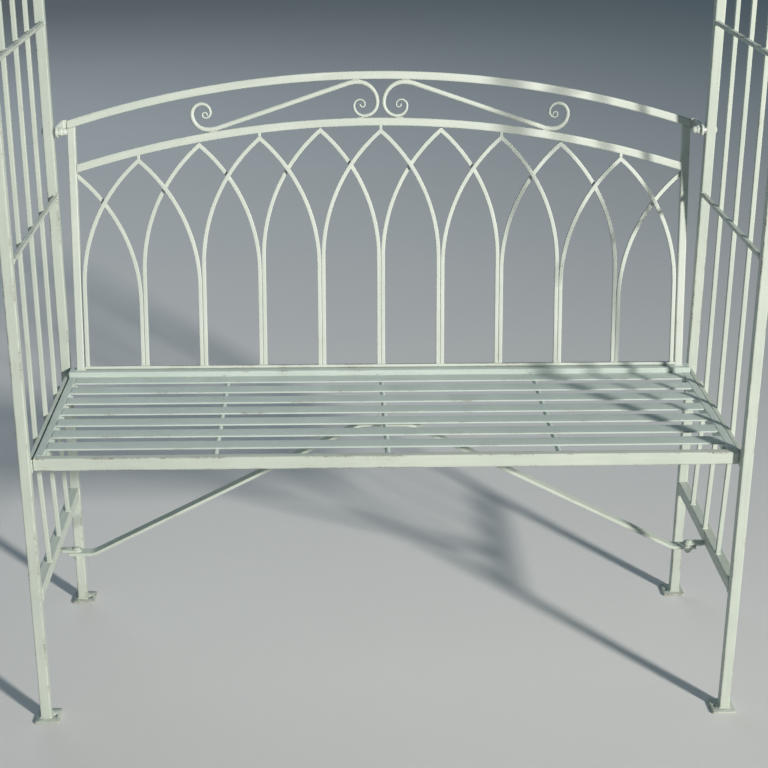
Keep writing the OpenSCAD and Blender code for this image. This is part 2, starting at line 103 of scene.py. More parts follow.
# Radii of the quarter turns of each curl, from its outside in
INNER_RADII = (0.033, 0.022, 0.0165, 0.010, 0.008, 0.004, 0.004)
OUTER_RADII = (0.0255, 0.0163, 0.0143, 0.0086, 0.0048, 0.0041, 0.0038)
TIP_ARC = (0.0031, 20)     # radius and degrees of the last stretch of a curl
BOLT_D = 0.008
BOLT_REACH = 0.003         # how far a bolt stands out of its nut
NUT_AF = 0.013             # across the flats
NUT_CORNER = NUT_AF / math.sqrt(3)
NUT_T = 0.0065
HEAD_T = 0.005
ACORN_L = 0.015            # height of the domed nuts
SCREW_R = 0.0055           # radius of the heads of the arch's screws
LOW_HEAD = (0.006, 0.003)  # radius and height of the low domed heads
TAB_T = 0.004
LUG = (-0.018, -0.00375, -0.029, -0.015)    # x and y of the lug over the brace's crown
LUG_T = 0.0025
LUG_BOLT = (-0.010, -0.022)
LUG_BOLT_D = 0.005
LUG_NUT = (0.008, 0.004)   # flats and height
LUG_HEAD_T = 0.0035


# Materials -------------------------------------------------------------------

class Nodes:
    """Short names for the shader nodes of one material."""

    def __init__(self, name):
        self.material = bpy.data.materials.new(name)
        self.material.use_nodes = True
        self.tree = self.material.node_tree
        self.shader = self.tree.nodes["Principled BSDF"]

    def add(self, kind, **inputs):
        """A new node with its inputs filled in."""
        node = self.tree.nodes.new(kind)
        for key, value in inputs.items():
            self.put(node, key.replace("_", " "), value)
        return node

    def put(self, node, key, value):
        """Links a socket to an input, or sets the input's value."""
        socket = node.inputs[int(key)] if key.isdigit() else node.inputs[key]
        if isinstance(value, bpy.types.NodeSocket):
            self.tree.links.new(value, socket)
        else:
            socket.default_value = value

    def place(self):
        """Object coordinates."""
        return self.tree.nodes.new("ShaderNodeTexCoord").outputs["Object"]

    def attribute(self, name, output):
        """A value that the mesh stores at its points."""
        node = self.tree.nodes.new("ShaderNodeAttribute")
        node.attribute_name = name
        return node.outputs[output]

    def scaled(self, vector, scale):
        """A vector scaled on each axis."""
        node = self.tree.nodes.new("ShaderNodeVectorMath")
        node.operation = "MULTIPLY"
        self.put(node, "0", vector)
        node.inputs[1].default_value = scale
        return node.outputs[0]

    def noise(self, vector, scale=1.0, detail=3.0, roughness=0.55):
        """Noise from 0 to 1."""
        node = self.add("ShaderNodeTexNoise", Vector=vector, Scale=scale, Detail=detail,
                        Roughness=roughness)
        return node.outputs["Fac"]

    def ramp(self, value, low, high, to=(0.0, 1.0)):
        """A smooth step between two values."""
        node = self.tree.nodes.new("ShaderNodeMapRange")
        node.interpolation_type = "SMOOTHSTEP"
        self.put(node, "Value", value)
        for key, number in (("From Min", low), ("From Max", high), ("To Min", to[0]), ("To Max", to[1])):
            self.put(node, key, number)
        return node.outputs["Result"]

    def math(self, operation, a, b):
        """Arithmetic on two values. Sums and products stay between 0 and 1."""
        node = self.tree.nodes.new("ShaderNodeMath")
        node.operation = operation
        node.use_clamp = operation in ("MULTIPLY", "ADD")
        self.put(node, "0", a)
        self.put(node, "1", b)
        return node.outputs[0]

    def mix(self, factor, a, b):
        """A colour between two colours."""
        node = self.tree.nodes.new("ShaderNodeMix")
        node.data_type = "RGBA"
        self.put(node, "0", factor)
        for key, value in (("6", a), ("7", b)):
            self.put(node, key, value)
        return node.outputs[2]

    def bump(self, height, strength, distance):
        """A surface normal from a height."""
        node = self.add("ShaderNodeBump", Strength=strength, Distance=distance, Height=height)
        return node.outputs["Normal"]


DUST = (0.40, 0.40, 0.33, 1)
BARE_STEEL = (0.15, 0.118, 0.085, 1)
CHIP_RUST = (0.12, 0.055, 0.025, 1)


def paint(name, light, deep, wear):
    """Brushed sage paint: streaks along each bar, rubbed at the edges, chipped here and there."""
    n = Nodes(name)
    place, bar = n.place(), n.attribute("bar", "Vector")
    edge = n.attribute("edge", "Fac")
    blotch = n.noise(place, 7.0, 4.0)
    streak = n.noise(n.scaled(bar, (9.0, 620.0, 620.0)), 1.0, 4.0, 0.6)
    grain = n.noise(place, 900.0, 2.0)
    patch = n.noise(place, 19.0, 5.0, 0.62)
    fleck = n.noise(place, 420.0, 3.0, 0.6)
    scuff = n.noise(n.scaled(bar, (20.0, 760.0, 760.0)), 1.0, 4.0, 0.6)

    tone = n.math("ADD", n.math("MULTIPLY", blotch, 0.55), n.math("MULTIPLY", streak, 0.45))
    colour = n.mix(n.ramp(tone, 0.36, 0.64), deep, light)
    dust = n.math("MULTIPLY", n.ramp(patch, 0.50, 0.72), 0.12)
    colour = n.mix(dust, colour, DUST)

    worn_patch = n.ramp(patch, 0.66 - 0.22 * wear, 0.80 - 0.16 * wear)
    rubbed = n.math("MULTIPLY", n.math("POWER", edge, 2.5), worn_patch)
    rubbed = n.math("MULTIPLY", rubbed, n.ramp(fleck, 0.38, 0.58))
    scuffed = n.math("MULTIPLY", n.ramp(scuff, 0.63 - 0.04 * wear, 0.72 - 0.04 * wear),
                     n.ramp(patch, 0.54 - 0.08 * wear, 0.66))
    bare = n.math("MAXIMUM", rubbed, n.math("MULTIPLY", scuffed, 0.5))
    colour = n.mix(n.math("MULTIPLY", bare, 0.85), colour, BARE_STEEL)
    chip = n.math("MULTIPLY", n.ramp(fleck, 0.75, 0.77), n.ramp(patch, 0.54, 0.64))
    colour = n.mix(chip, colour, CHIP_RUST)

    rough = n.math("ADD", n.ramp(streak, 0.3, 0.7, (0.40, 0.54)), n.math("MULTIPLY", bare, 0.22))
    height = n.math("ADD", n.math("MULTIPLY", streak, 0.5), n.math("MULTIPLY", grain, 0.2))
    height = n.math("SUBTRACT", height, n.math("MULTIPLY", n.math("MAXIMUM", chip, bare), 0.4))
    n.put(n.shader, "Base Color", colour)
    n.put(n.shader, "Roughness", rough)
    n.put(n.shader, "Normal", n.bump(height, 0.18, 0.0006))
    return n.material


def zinc(name):
    """Dull zinc plate with white bloom and specks of rust."""
    n = Nodes(name)
    place = n.place()
    cloud = n.noise(place, 160.0, 4.0, 0.6)
    fine = n.noise(place, 1400.0, 3.0)
    rust = n.math("MULTIPLY", n.ramp(n.noise(place, 520.0, 4.0), 0.60, 0.70), 0.7)
    colour = n.mix(n.ramp(cloud, 0.35, 0.65), (0.36, 0.37, 0.38, 1), (0.62, 0.63, 0.62, 1))
    n.put(n.shader, "Base Color", n.mix(rust, colour, (0.16, 0.075, 0.03, 1)))
    n.put(n.shader, "Metallic", n.ramp(rust, 0.0, 0.7, (0.85, 0.1)))
    n.put(n.shader, "Roughness", n.ramp(cloud, 0.3, 0.7, (0.30, 0.52)))
    n.put(n.shader, "Normal", n.bump(fine, 0.25, 0.0003))
    return n.material


# Light and deep tone of each paint
SAGE = (0.555, 0.605, 0.53, 1), (0.48, 0.54, 0.475, 1)
# The seat's tones are bluer than the frame's: a painted sky reflection for the seat's upward faces
SEAT_SAGE_SKY_TINTED = (0.55, 0.625, 0.575, 1), (0.485, 0.565, 0.525, 1)
BACK_SAGE = (0.60, 0.645, 0.585, 1), (0.53, 0.585, 0.525, 1)
FRAME_PAINT = paint("frame_paint", *SAGE, 0.35)
POST_PAINT = paint("post_paint", *SAGE, 0.8)
WORN_PAINT = paint("worn_paint", *SAGE, 1.0)
# Seat paint that carries the bluer painted sky reflection
SEAT_PAINT_SKY_TINTED = paint("seat_paint", *SEAT_SAGE_SKY_TINTED, 0.6)
BACK_WORN = paint("back_worn", *BACK_SAGE, 0.9)
BACK_PAINT = paint("back_paint", *BACK_SAGE, 0.2)
ZINC = zinc("zinc")


# Mesh helpers ----------------------------------------------------------------

class Shape:
    """Points and faces of one piece. edge marks worn edges, and bar is the place along and in a bar."""

    def __init__(self):
        self.points, self.faces, self.edge, self.bar = [], [], [], []

    def ring(self, points, edges, bars):
        """Adds a ring of points and returns their numbers."""
        first = len(self.points)
        self.points += points
        self.edge += edges
        self.bar += bars
        return list(range(first, first + len(points)))

    def join(self, low, high):
        """Faces between two rings."""
        count = len(low)
        for i in range(count):
            k = (i + 1) % count
            self.faces.append((low[i], low[k], high[k], high[i]))

    def cap(self, ring, flipped=False):
        """One face over a ring."""
        self.faces.append(tuple(reversed(ring)) if flipped else tuple(ring))

    def stack(self, rings, capped=True):
        """Joins rings in their order, and caps the first and the last."""
        for low, high in zip(rings, rings[1:]):
            self.join(low, high)
        if capped:
            self.cap(rings[0], flipped=True)
            self.cap(rings[-1])

    def piece(self, name, material, slot, *nodes):
        """Makes the mesh an object that rides on the root body and stands for CAD nodes."""
        mesh = bpy.data.meshes.new(name)
        mesh.from_pydata(self.points, [], self.faces)
        mesh.attributes.new("edge", "FLOAT", "POINT").data.foreach_set("value", self.edge)
        flat = [c for v in self.bar for c in v]
        mesh.attributes.new("bar", "FLOAT_VECTOR", "POINT").data.foreach_set("vector", flat)
        mesh.polygons.foreach_set("use_smooth", [True] * len(mesh.polygons))
        mesh.set_sharp_from_angle(angle=math.radians(SHARP))
        mesh.materials.append(material)
        obj = bpy.data.objects.new(name, mesh)
        bpy.context.scene.collection.objects.link(obj)
        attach(obj, "root")
        if nodes:
            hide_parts(*nodes)
        return obj


def outline(corners, radius, steps=3, fade=0.0012):
    """Closed section with round corners, anticlockwise: a, b, normal a, normal b, edge of each point."""
    corners = [Vector(c) for c in corners]
    count = len(corners)
    area = sum(corners[i - 1].x * corners[i].y - corners[i].x * corners[i - 1].y for i in range(count))
    if area < 0:
        corners.reverse()
    made = []
    for i, corner in enumerate(corners):
        back = (corners[i - 1] - corner).normalized()
        ahead = (corners[(i + 1) % count] - corner).normalized()
        half = back.angle(ahead) / 2
        centre = corner + (back + ahead).normalized() * radius / math.sin(half)
        reach = radius / math.tan(half)
        start, end = corner + back * reach, corner + ahead * reach
        from_angle = math.atan2(*(start - centre).yx)
        turn = math.remainder(math.atan2(*(end - centre).yx) - from_angle, 2 * math.pi)
        sign = 1 if turn > 0 else -1
        made.append((start + back * fade, Vector((-back.y, back.x)), 0.0))
        for k in range(steps + 1):
            angle = from_angle + turn * k / steps
            ray = Vector((math.cos(angle), math.sin(angle)))
            made.append((centre + ray * radius, ray * sign, 1.0))
        made.append((end + ahead * fade, Vector((ahead.y, -ahead.x)), 0.0))
    return [(*p, *normal, edge) for p, normal, edge in made]


def rectangle(width, depth, radius):
    """Section of a flat or square bar."""
    w, d = width / 2, depth / 2
    fade = min(0.0012, (min(w, d) - radius) * 0.8)
    return outline([(-w, -d), (w, -d), (w, d), (-w, d)], radius, fade=fade)


def onto(point, direction, plane):
    """Moves a point along a direction until it meets a plane (point, normal)."""
    if plane is None:
        return point
    return point + direction * ((plane[0] - point).dot(plane[1]) / direction.dot(plane[1]))


def sweep(shape, path, normal, section, widths=None, planes=(None, None), hollow=False):
    """Carries a section along a flat path.

    The section's a axis lies in the path's plane, and its b axis along normal. Planes, each a
    (point, normal), cut the two ends. A hollow end is open a STEP deep.
    """
    last = len(path) - 1
    room = min((path[1] - path[0]).length, (path[-1] - path[-2]).length)
    chamfer = min(CHAMFER, room * 0.3)
    # Inset of each ring at an end, and its distance from the cut
    end_rings = [(chamfer, 0.0), (0.0, chamfer)]
    if hollow:
        end_rings = [(WALL, STEP), (WALL, 0.0), *end_rings]
    if room > 4 * END_FADE:
        end_rings.append((0.0, chamfer + END_FADE))
    # Each bar's streaks start elsewhere in the pattern
    along, offset = 0.0, 7.13 * path[0].x + 3.71 * path[0].y + path[0].z
    rings = []

    def add(centre, tangent, width, inset=0.0, plane=None, shift=0.0):
        """One ring, inset from the section's outline and shifted along the path."""
        side = normal.cross(tangent)
        points = []
        for a, b, na, nb, _ in section:
            p = centre + side * ((a - na * inset) * width) + normal * (b - nb * inset)
            points.append(onto(p, tangent, plane) + tangent * shift)
        rings.append(shape.ring(points, [s[4] for s in section],
                                [(offset + along, s[0], s[1]) for s in section]))

    for i, centre in enumerate(path):
        before = (centre - path[i - 1]).normalized() if i else (path[1] - centre).normalized()
        after = (path[i + 1] - centre).normalized() if i < last else before
        tangent = (before + after).normalized()
        width = widths[i] if widths else 1.0
        along += (centre - path[i - 1]).length if i else 0.0
        if i == 0:
            for inset, shift in end_rings:
                add(centre, tangent, width, inset, planes[0], shift)
        elif i == last:
            for inset, shift in reversed(end_rings):
                add(centre, tangent, width, inset, planes[1], -shift)
        else:
            add(centre, tangent, width / tangent.dot(before))
    shape.stack(rings)


def subdivided(path, step=STEP):
    """A path with extra points about a step apart."""
    made = [path[0]]
    for a, b in zip(path, path[1:]):
        count = max(1, round((b - a).length / step))
        made += [a.lerp(b, k / count) for k in range(1, count + 1)]
    return made


def bent(points, radius, steps=6):
    """A path through points with its inner corners rounded."""
    made = [points[0]]
    for before, corner, after in zip(points, points[1:], points[2:]):
        back, ahead = (before - corner).normalized(), (after - corner).normalized()
        half = back.angle(ahead) / 2
        reach = radius / math.tan(half)
        start, end = corner + back * reach, corner + ahead * reach
        centre = corner + (back + ahead).normalized() * radius / math.sin(half)
        a, b = (start - centre).normalized(), (end - centre).normalized()
        made += [centre + a.slerp(b, k / steps) * radius for k in range(steps + 1)]
    return made + [points[-1]]


def fill(shape, lo, hi, axis, corner, hollow=False):
    """A straight bar with round edges that fills a box."""
    start = (lo + hi) / 2
    end = start.copy()
    start[axis], end[axis] = lo[axis], hi[axis]
    a, b = (axis + 1) % 3, (axis + 2) % 3
    size = hi - lo
    sweep(shape, subdivided([start, end]), UNIT[b], rectangle(size[a], size[b], corner), hollow=hollow)


def filled(node, axis, corner, material, slot, hollow=False):
    """The piece of a straight bar, in its node's box."""
    shape = Shape()
    fill(shape, *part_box(node), axis, corner, hollow)
    return shape.piece(node + "_bar", material, slot, node)


def turned(shape, matrix, profile, flats=None, sides=48):
    """Turns a profile of (height, radius) round Z, cut to a hexagon where flats is given."""
    rings = []
    for height, radius in profile:
        points = []
        for k in range(sides):
            angle, r = 2 * math.pi * k / sides, radius
            if flats:
                r = min(r, flats / 2 / math.cos(math.remainder(angle, math.pi / 3)))
            points.append(matrix @ Vector((r * math.cos(angle), r * math.sin(angle), height)))
        rings.append(shape.ring(points, [0.0] * sides, [tuple(p) for p in points]))
    shape.stack(rings)


def dome(base, top, radius, steps=7):
    """Profile of a domed head between two heights."""
    turns = [k / steps * math.pi / 2 for k in range(steps + 1)]
    return [(base + (top - base) * math.sin(t), max(radius * math.cos(t), 0.0002)) for t in turns]


def thread(low, high, radius, pitch=0.00125):
    """Profile of a threaded stretch."""
    count = max(2, round((high - low) / pitch * 2))
    depth = 0.0006
    return [(low + (high - low) * k / count, radius - depth * (k % 2)) for k in range(count + 1)]


def facing(point, direction):
    """Matrix that puts the origin at point, with Z along direction."""
    return Matrix.Translation(point) @ direction.to_track_quat("Z", "Y").to_matrix().to_4x4()


def hex_profile(height, flats):
    """Profile of a nut or head with chamfered corners."""
    corner, edge = flats / 2 / math.cos(math.pi / 6), 0.0009
    return [(0, flats * 0.47), (edge, corner), (height - edge, corner), (height, flats * 0.47)]


def weld(shape, path, radius, closed=True, sides=8):
    """A lumpy bead along a path, or round it where it is closed."""
    path = subdivided(path + path[:1] if closed else path, radius * 1.1)
    if closed:
        path = path[:-1]
    count = len(path)
    rings = []
    for i, p in enumerate(path):
        ahead = path[(i + 1) % count] if closed or i < count - 1 else p
        back = path[i - 1] if closed or i else p
        tangent = (ahead - back).normalized()
        side = tangent.orthogonal().normalized()
        up = tangent.cross(side)
        swell = radius * (0.95 + 0.55 * noise.noise(p * 700))
        points = [p + (side * math.cos(t) + up * math.sin(t)) * swell
                  for t in (2 * math.pi * k / sides for k in range(sides))]
        rings.append(shape.ring(points, [0.35] * sides, [tuple(q) for q in points]))
    # Each ring starts where it lies closest to the last one's start
    pairs = list(zip(rings, rings[1:])) + ([(rings[-1], rings[0])] if closed else [])
    for low, high in pairs:
        start = min(range(sides), key=lambda k: (shape.points[high[k]] - shape.points[low[0]]).length)
        shape.join(low, high[start:] + high[:start])
    if not closed:
        shape.cap(rings[0], flipped=True)
        shape.cap(rings[-1])


def collar(shape, lo, hi, axis, height, radius):
    """A weld round a bar that fills a box, at one height along axis."""
    a, b = (axis + 1) % 3, (axis + 2) % 3
    points = []
    for at_a, at_b in ((lo, lo), (hi, lo), (hi, hi), (lo, hi)):
        p = Vector((0, 0, 0))
        p[axis], p[a], p[b] = height, at_a[a], at_b[b]
        points.append(p)
    weld(shape, points, radius)


# Trellis sides ---------------------------------------------------------------

def trellis_rod(node, seat_bar):
    """A square rod that leans outwards up to the seat bar and then stands upright."""
    lo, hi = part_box(node)
    size = hi.y - lo.y
    side = 1 if lo.x > 0 else -1
    inner, outer = min(abs(lo.x), abs(hi.x)), max(abs(lo.x), abs(hi.x))
    y, bend = (lo.y + hi.y) / 2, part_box(seat_bar)[0].z - ROD_BEND
    foot, upper = side * (inner + size / 2), side * (outer - size / 2)
    path = bent([Vector((foot, y, lo.z)), Vector((upper, y, bend)), Vector((upper, y, hi.z))], ROD_BEND_R)
    shape = Shape()
    sweep(shape, subdivided(path), Y, rectangle(size, size, BAR_CORNER),
          planes=((Vector((0, 0, lo.z)), Z), (Vector((0, 0, hi.z)), Z)))
    shape.piece(node + "_bar", FRAME_PAINT, "frame_paint", node)


def ladder(node):
    """The cross bars of one trellis side, evenly spaced in the node's box."""
    lo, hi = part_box(node)
    heights = [lo.z + (hi.z - lo.z - BAR_H) * i / (BARS - 1) for i in range(BARS)]
    shape = Shape()
    for z in heights:
        fill(shape, Vector((lo.x, lo.y, z)), Vector((hi.x, hi.y, z + BAR_H)), 1, BAR_CORNER)
    shape.piece(node + "_set", WORN_PAINT, "frame_paint", node)
    return heights


def trellis_side(side):
    """The posts, rails, rods, bars and welds of one side."""
    for end in ("front", "rear"):
        filled(f"{side}_{end}_post", 2, TUBE_CORNER, POST_PAINT, "frame_paint")
    filled(f"{side}_bottom_rail", 1, TUBE_CORNER, FRAME_PAINT, "frame_paint")
    filled(f"{side}_seat_bar", 1, BAR_CORNER, FRAME_PAINT, "frame_paint")
    rods = [f"{side}_{place}_rod" for place in ("front", "middle", "rear")]
    for rod in rods:
        trellis_rod(rod, f"{side}_seat_bar")
    side_welds(side, rods, ladder(f"{side}_cross_bars"))


def side_welds(side, rods, heights):
    """Beads at the feet of the posts and rods, and at the ends of the rails and bars."""
    shape = Shape()
    rail_lo, rail_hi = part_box(f"{side}_bottom_rail")
    for end in ("front", "rear"):
        lo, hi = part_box(f"{side}_{end}_post")
        collar(shape, lo, hi, 2, lo.z + 0.0005, POST_BEAD)
    for rod in rods:
        lo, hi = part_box(rod)
        size, outward = hi.y - lo.y, lo.x > 0
        foot = Vector((lo.x + size, hi.y, 0)) if outward else Vector((hi.x, hi.y, 0))
        start = lo if outward else Vector((hi.x - size, lo.y, 0))
        collar(shape, start, foot, 2, rail_hi.z + LIFT, ROD_BEAD)
    collar(shape, rail_lo, rail_hi, 1, rail_lo.y + LIFT, BEAD)
    collar(shape, rail_lo, rail_hi, 1, rail_hi.y - LIFT, BEAD)
    bar_lo, bar_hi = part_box(f"{side}_cross_bars")
    spans = [(z, z + BAR_H) for z in heights]
    seat_lo, seat_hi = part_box(f"{side}_seat_bar")
    for low, high in [*spans, (seat_lo.z, seat_hi.z)]:
        for y in (bar_lo.y + LIFT, bar_hi.y - LIFT):
            collar(shape, Vector((bar_lo.x, y, low)), Vector((bar_hi.x, y, high)), 1, y, BEAD)
    for rod in rods:
        lo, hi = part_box(rod)
        x = bar_hi.x if lo.x > 0 else bar_lo.x
        for z in (z for span in spans for z in span):
            ends = [Vector((x, lo.y + 0.001, z)), Vector((x, hi.y - 0.001, z))]
            weld(shape, ends, THIN_BEAD, closed=False)
    shape.piece(f"{side}_side_welds", FRAME_PAINT, "frame_paint")


def drilled_plate(shape, corners, rounding, hole, hole_r, low, high):
    """A flat plate with round corners and one round hole, from one height to another."""
    section = outline(corners, rounding, 5, 0.002)
    centre = Vector(hole)

    def rim(inset):
        """Points of the outer edge."""
        return [Vector((a - na * inset, b - nb * inset)) for a, b, na, nb, _ in section]

    def bore(inset):
        """Points of the hole's edge."""
        return [centre + (Vector((a, b)) - centre).normalized() * (hole_r - inset) for a, b, *_ in section]

    c = CHAMFER
    levels = [(low, bore, -c), (low, rim, c), (low + c, rim, 0), (high - c, rim, 0), (high, rim, c),
              (high, bore, -c), (high - c, bore, 0), (low + c, bore, 0), (low, bore, -c)]
    rings = []
    for z, wall, inset in levels:
        points = [Vector((*p, z)) for p in wall(inset)]
        worn = 1.0 if wall is rim else 0.2
        rings.append(shape.ring(points, [worn] * len(points), [tuple(p) for p in points]))
    shape.stack(rings, capped=False)


def foot_plates():
    """A plate under each post, with its hole on the inner side."""
    lo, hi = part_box("foot_plates")
    post_lo, post_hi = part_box("right_front_post")
    half = (post_lo.y + post_hi.y) / 2 - lo.y
    hole_in, hole_r = FOOT_HOLE
    shape = Shape()
    for side in (-1, 1):
        inner, outer = side * (post_lo.x - FOOT_IN), side * hi.x
        for y in (lo.y + half, hi.y - half):
            corners = [(inner, y - half), (outer, y - half), (outer, y + half), (inner, y + half)]
            hole = (side * (post_lo.x - hole_in), y)
            drilled_plate(shape, corners, 0.003, hole, hole_r, lo.z, hi.z)
    shape.piece("foot_plate_set", WORN_PAINT, "frame_paint", "foot_plates")


def brace_tabs():
    """The tabs that the brace hangs from, and the lug over its crown."""
    lo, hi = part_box("brace_tabs")
    rail_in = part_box("right_bottom_rail")[0].x
    width = hi.y - lo.y
    bolt = bolt_centre()
    tip, top = bolt.x - width / 2, lo.z + TAB_T
    shape = Shape()
    for side in (-1, 1):
        corners = [(side * tip, lo.y), (side * rail_in, lo.y), (side * rail_in, hi.y), (side * tip, hi.y)]
        hole = (side * bolt.x, (lo.y + hi.y) / 2)
        drilled_plate(shape, corners, width * 0.42, hole, BOLT_D * 0.53, lo.z, top)
        ends = [Vector((side * rail_in, lo.y, top)), Vector((side * rail_in, hi.y, top))]
        weld(shape, ends, 0.0015, closed=False)
    x0, x1, y0, y1 = LUG
    corners = [(x0, y0), (x1, y0), (x1, y1), (x0, y1)]
    drilled_plate(shape, corners, 0.0015, LUG_BOLT, LUG_BOLT_D * 0.54, hi.z - LUG_T, hi.z)
    ends = [Vector((x1, y0 + 0.001, hi.z)), Vector((x1, y1 - 0.001, hi.z))]
    weld(shape, ends, BEAD, closed=False)
    shape.piece("brace_tab_pair", FRAME_PAINT, "frame_paint", "brace_tabs")


def bolt_centre():
    """Where the right-hand brace bolt stands."""
    lo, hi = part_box("brace_bolts")
    return Vector((hi.x - LOW_HEAD[0], (lo.y + hi.y) / 2, 0))


# Top section -----------------------------------------------------------------

def hoop(node, corner):
    """A square bar that runs up one side, round the top and down the other.

    Returns the radius of its inner side and the height where the round starts.
    """
    lo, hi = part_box(node)
    size = hi.y - lo.y
    radius = hi.x - size / 2
    spring, y = hi.z - hi.x, (lo.y + hi.y) / 2
    steps = 96
    turns = [math.pi * k / steps for k in range(steps + 1)]
    arc = [Vector((-radius * math.cos(t), y, spring + radius * math.sin(t))) for t in turns]
    shape = Shape()
    path = [Vector((-radius, y, lo.z)), *arc, Vector((radius, y, lo.z))]
    sweep(shape, path, Y, rectangle(size, size, corner))
    shape.piece(node + "_bar", FRAME_PAINT, "frame_paint", node)
    return radius - size / 2, spring


def top_section():
    """The arches, the rods between them and the cross bars under the rods."""
    for node in ("front_arch", "rear_arch"):
        hoop(node, TUBE_CORNER)
    for node in ("arch_front_rod", "arch_middle_rod", "arch_rear_rod"):
        inner, spring = hoop(node, BAR_CORNER)
    lo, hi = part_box("arch_cross_bars")
    middle = inner - BAR_T / 2
    straight, inside = spring - lo.z, inner - BAR_T
    path = straight + inside * math.pi / 2
    places = [(Vector((side * middle, 0, lo.z + BAR_H / 2)), X * side) for side in (-1, 1)]
    for i in range(1, BAYS):
        turn = (i * path / BAYS - straight) / inside - math.pi / 2
        for side in (-1, 1):
            ray = Matrix.Rotation(side * turn, 3, "Y") @ Z
            places.append((Vector((0, 0, spring)) + ray * middle, ray))
    places.append((Vector((0, 0, spring + middle)), Z))
    shape = Shape()
    for centre, ray in places:
        ends = [centre + Y * lo.y, centre + Y * hi.y]
        sweep(shape, subdivided(ends), ray, rectangle(BAR_H, BAR_T, BAR_CORNER))
    shape.piece("arch_cross_bar_set", WORN_PAINT, "frame_paint", "arch_cross_bars")


# Seat ------------------------------------------------------------------------

def slat(node):
    """A flat bar with soft edges and a slight crown."""
    lo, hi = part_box(node)
    width, thick = hi.y - lo.y, hi.z - lo.z
    domed = []
    for a, b, na, nb, edge in rectangle(width, thick, SLAT_CORNER):
        domed.append((a, b - SLAT_CROWN * (2 * a / width) ** 2 if b > 0 else b, na, nb, edge))
    middle = [(a * width / 2, thick / 2 - SLAT_CROWN * a * a, 0, 1, 0) for a in (0.6, 0.2, -0.2, -0.6)]
    top_right = max(i for i, p in enumerate(domed) if p[0] > 0 and p[1] > 0)
    domed[top_right + 1:top_right + 1] = middle
    centre = (lo + hi) / 2
    path = subdivided([Vector((lo.x, centre.y, centre.z)), Vector((hi.x, centre.y, centre.z))])
    shape = Shape()
    sweep(shape, path, Z, domed)
    shape.piece(node + "_bar", SEAT_PAINT_SKY_TINTED, "seat_paint", node)


def bearer(node):
    """A round rod under the slats."""
    lo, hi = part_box(node)
    centre, radius, sides = (lo + hi) / 2, (hi.z - lo.z) / 2, 20
    turns = [2 * math.pi * k / sides for k in range(sides)]
    section = [(radius * math.cos(t), radius * math.sin(t), math.cos(t), math.sin(t), 0.0) for t in turns]
    path = subdivided([Vector((centre.x, lo.y, centre.z)), Vector((centre.x, hi.y, centre.z))])
    shape = Shape()
    sweep(shape, path, Z, section)
    shape.piece(node + "_rod", SEAT_PAINT_SKY_TINTED, "seat_paint", node)


def bearer_welds():
    """Lumps of weld over the last slat, where the bearers end at the rear rail."""
    shape = Shape()
    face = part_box("seat_rear_rail")[0].y
    slat_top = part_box("seat_slat_7")[1].z
    for place in ("left", "centre", "right"):
        lo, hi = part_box(f"slat_bearer_{place}")
        x = (lo.x + hi.x) / 2
        ends = [Vector((x - 0.006, face, slat_top)), Vector((x + 0.006, face, slat_top))]
        weld(shape, ends, 0.002, closed=False)
        for end in (lo.y, hi.y):
            collar(shape, Vector((lo.x, end, lo.z)), Vector((hi.x, end, hi.z)), 1, end, THIN_BEAD)
    shape.piece("bearer_weld_set", SEAT_PAINT_SKY_TINTED, "seat_paint")


def seat():
    """The seat's rails, slats and bearers."""
    filled("seat_front_rail", 0, TUBE_CORNER, WORN_PAINT, "seat_paint", hollow=True)
    filled("seat_rear_rail", 0, TUBE_CORNER, SEAT_PAINT_SKY_TINTED, "seat_paint", hollow=True)
    for side, _ in SIDES:
        filled(f"seat_{side}_rail", 1, TUBE_CORNER, SEAT_PAINT_SKY_TINTED, "seat_paint")
    for i in range(7):
        slat(f"seat_slat_{i + 1}")
    for place in ("left", "centre", "right"):
        bearer(f"slat_bearer_{place}")
    bearer_welds()


def seat_brace():
    """Flat bar with two low bends and two bends under the middle of the seat."""
    lo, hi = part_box("seat_brace")
    high_bend, low_bend = BRACE_BENDS
    z0, z1, y = lo.z + BRACE_T / 2, hi.z - BRACE_T / 2, (lo.y + hi.y) / 2
    right = [Vector((high_bend, y, z1)), Vector((low_bend, y, z0)), Vector((hi.x, y, z0))]
    left = [Vector((-p.x, p.y, p.z)) for p in reversed(right)]
    shape = Shape()
    sweep(shape, subdivided(bent(left + right, 0.03)), Y, rectangle(BRACE_T, hi.y - lo.y, BAR_CORNER),
          planes=((Vector((lo.x, 0, 0)), X), (Vector((hi.x, 0, 0)), X)))
    shape.piece("seat_brace_bar", FRAME_PAINT, "frame_paint", "seat_brace")


# Backrest --------------------------------------------------------------------

REAR_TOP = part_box("seat_rear_rail")[1].z
BACK_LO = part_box("back_left_upright")[0]
BACK_Y = BACK_LO.y
BACK_HALF = -BACK_LO.x
BACK_IN = BACK_HALF - BACK_TUBE
BACK_NORMAL = Vector((0, math.cos(LEAN), -math.sin(LEAN)))
UP_SLOPE = Vector((0, math.sin(LEAN), math.cos(LEAN)))
UNDER_R = BACK_R - BACK_TUBE
TOP_C, LOW_C = TOP_CROWN - BACK_R, LOW_CROWN - BACK_R       # centres of the curved rails


def on_back(x, s, y=0.0):
    """Point of the backrest: x across, s up the slope, y behind its front face."""
    return Vector((x, BACK_Y, REAR_TOP)) + UP_SLOPE * s + BACK_NORMAL * y


def arc_at(x, centre, radius):
    """Height up the slope of an arc round a centre in the middle."""
    return centre + math.sqrt(radius ** 2 - x ** 2)


